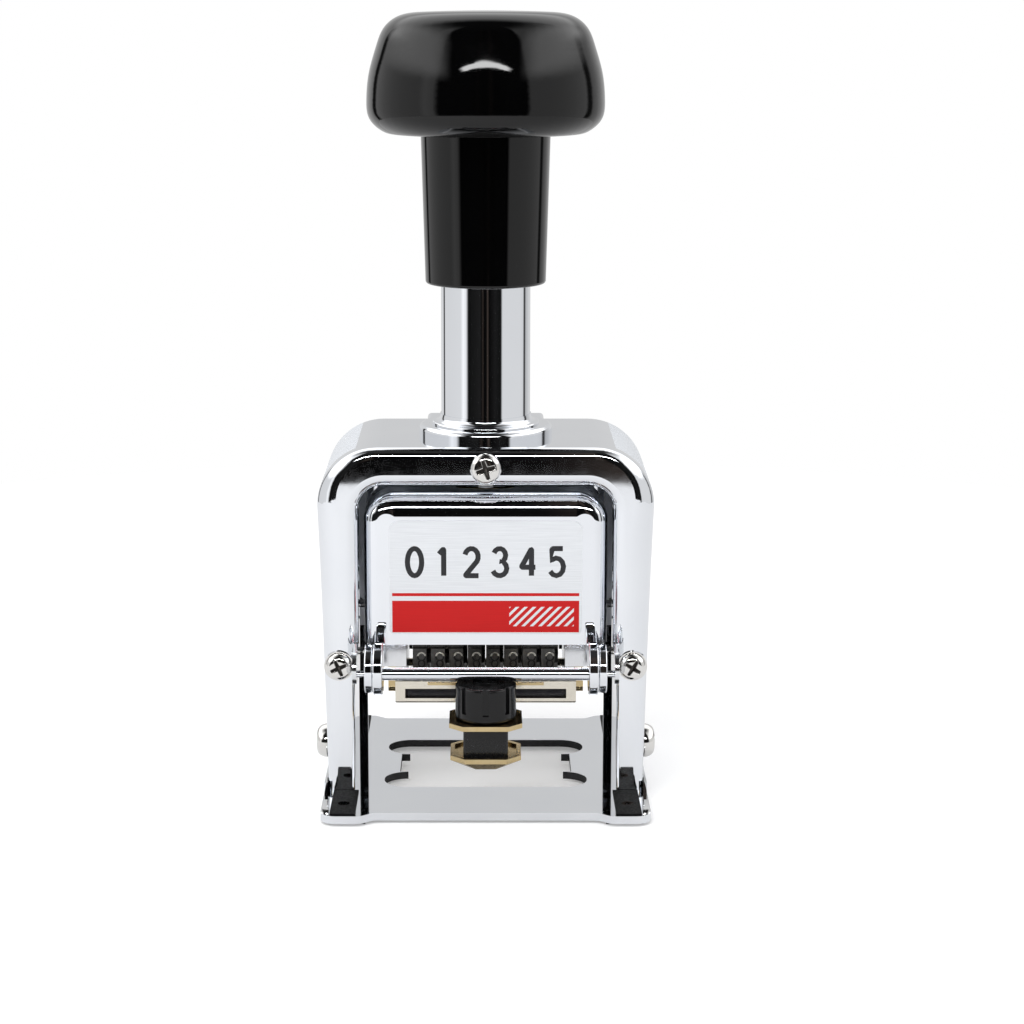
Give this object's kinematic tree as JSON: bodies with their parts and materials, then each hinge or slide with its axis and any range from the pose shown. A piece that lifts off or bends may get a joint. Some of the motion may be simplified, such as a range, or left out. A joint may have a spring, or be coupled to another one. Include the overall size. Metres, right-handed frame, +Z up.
{
  "type": "numbering machine",
  "caption": "Hand-operated numbering machine: a sprung plunger lowers number wheels through a slotted base while an ink tray swings aside.",
  "frame": {"origin": "centre of the surface that the machine stands on, under the axis of the plunger", "axes": "+Z up along the plunger, front with the label and cross bar towards -Y, +X to the right seen from the front"},
  "size_m": [0.0662, 0.064, 0.1496],
  "materials": {
    "bright_chrome": "polished chrome",
    "screw_steel": "nickel-plated screws",
    "plate_steel": "pale plated sheet steel",
    "spring_steel": "bright spring steel",
    "brass": "dull passivated brass",
    "nickel_cream": "warm nickel plate",
    "black_gloss": "high gloss black",
    "black_plastic": "satin black",
    "wheel_black": "blackened type wheels with worn faces",
    "foot_rubber": "matt rubber",
    "inked_felt": "felt soaked with black ink",
    "label_face": "satin silver label with a red band"
  },
  "bodies": {
    "frame": {"base_plate": "bright_chrome", "corner_pads": "black_plastic", "corner_eyelets": "bright_chrome", "rubber_feet": "foot_rubber", "frame_housing": "bright_chrome", "rear_cover": "bright_chrome", "rear_screws": "screw_steel", "guide_channel": "plate_steel", "column_flange": "bright_chrome", "stem_tube": "bright_chrome", "rod_bush": "brass", "return_spring": "spring_steel", "cam_plates": "plate_steel", "side_screws": "screw_steel", "cross_bar": "bright_chrome", "inner_discs": "bright_chrome", "outer_discs": "bright_chrome", "bar_brackets": "bright_chrome", "bracket_rivets": "screw_steel", "column_plate": "brass", "column_post": "black_plastic", "column_dish": "brass", "housing_screw": "screw_steel", "leg_screws": "screw_steel", "leg_washers": "screw_steel"},
    "plunger": {"plunger_rod": "plate_steel", "lock_nut": "screw_steel", "spring_collar": "plate_steel", "grip_sleeve": "black_gloss", "knob": "black_gloss", "carriage_side_left": "plate_steel", "carriage_side_right": "plate_steel", "carriage_bridge": "plate_steel", "bridge_screws": "screw_steel", "wheel_axle": "plate_steel", "axle_clips": "spring_steel", "detent_rod": "plate_steel", "detent_pawls": "spring_steel", "face_cover": "bright_chrome", "cover_screw": "screw_steel", "label_plate": "label_face"},
    "ink_swing": {"ink_tray": "nickel_cream", "pad_frame": "nickel_cream", "ink_pad": "inked_felt", "leaf_springs": "brass", "ink_arms": "brass", "follower_pins": "plate_steel"},
    "feed": {"pawl_frame": "plate_steel", "feed_pins": "plate_steel", "feed_pawls": "spring_steel"},
    "nut": {"thumb_nut": "black_plastic"},
    "number_wheel_1": {"number_wheel_1": "wheel_black"},
    "number_wheel_2": {"number_wheel_2": "wheel_black"},
    "number_wheel_3": {"number_wheel_3": "wheel_black"},
    "number_wheel_4": {"number_wheel_4": "wheel_black"},
    "number_wheel_5": {"number_wheel_5": "wheel_black"},
    "number_wheel_6": {"number_wheel_6": "wheel_black"},
    "number_wheel_7": {"number_wheel_7": "wheel_black"},
    "number_wheel_8": {"number_wheel_8": "wheel_black"}
  },
  "joints": [
    {"name": "plunger_slide", "type": "slide", "parent": "frame", "child": "plunger", "axis": [0, 0, -1], "range_m": [0, 0.0187], "stiffness_N_per_m": 600, "springref_m": -0.02, "deforming": ["return_spring"]},
    {"name": "ink_swing_turn", "type": "hinge", "parent": "plunger", "child": "ink_swing", "pos_m": [0, 0, 0.0292], "axis": [1, 0, 0], "range_deg": [0, 95]},
    {"name": "feed_turn", "type": "hinge", "parent": "plunger", "child": "feed", "pos_m": [0, 0, 0.0292], "axis": [1, 0, 0], "range_deg": [0, 40]},
    {"name": "thumb_nut_turn", "type": "hinge", "parent": "frame", "child": "nut", "pos_m": [0, -0.0226, 0.0218], "axis": [0, 0, 1], "continuous": true},
    {"name": "number_wheel_1_turn", "type": "hinge", "parent": "plunger", "child": "number_wheel_1", "pos_m": [0, 0, 0.0292], "axis": [1, 0, 0], "continuous": true},
    {"name": "number_wheel_2_turn", "type": "hinge", "parent": "plunger", "child": "number_wheel_2", "pos_m": [0, 0, 0.0292], "axis": [1, 0, 0], "continuous": true},
    {"name": "number_wheel_3_turn", "type": "hinge", "parent": "plunger", "child": "number_wheel_3", "pos_m": [0, 0, 0.0292], "axis": [1, 0, 0], "continuous": true},
    {"name": "number_wheel_4_turn", "type": "hinge", "parent": "plunger", "child": "number_wheel_4", "pos_m": [0, 0, 0.0292], "axis": [1, 0, 0], "continuous": true},
    {"name": "number_wheel_5_turn", "type": "hinge", "parent": "plunger", "child": "number_wheel_5", "pos_m": [0, 0, 0.0292], "axis": [1, 0, 0], "continuous": true},
    {"name": "number_wheel_6_turn", "type": "hinge", "parent": "plunger", "child": "number_wheel_6", "pos_m": [0, 0, 0.0292], "axis": [1, 0, 0], "continuous": true},
    {"name": "number_wheel_7_turn", "type": "hinge", "parent": "plunger", "child": "number_wheel_7", "pos_m": [0, 0, 0.0292], "axis": [1, 0, 0], "continuous": true},
    {"name": "number_wheel_8_turn", "type": "hinge", "parent": "plunger", "child": "number_wheel_8", "pos_m": [0, 0, 0.0292], "axis": [1, 0, 0], "continuous": true}
  ],
  "couplings": [
    {"joint": "ink_swing_turn", "follows": "plunger_slide", "rad_per_m": 88.666},
    {"joint": "feed_turn", "follows": "plunger_slide", "rad_per_m": 37.333}
  ]
}
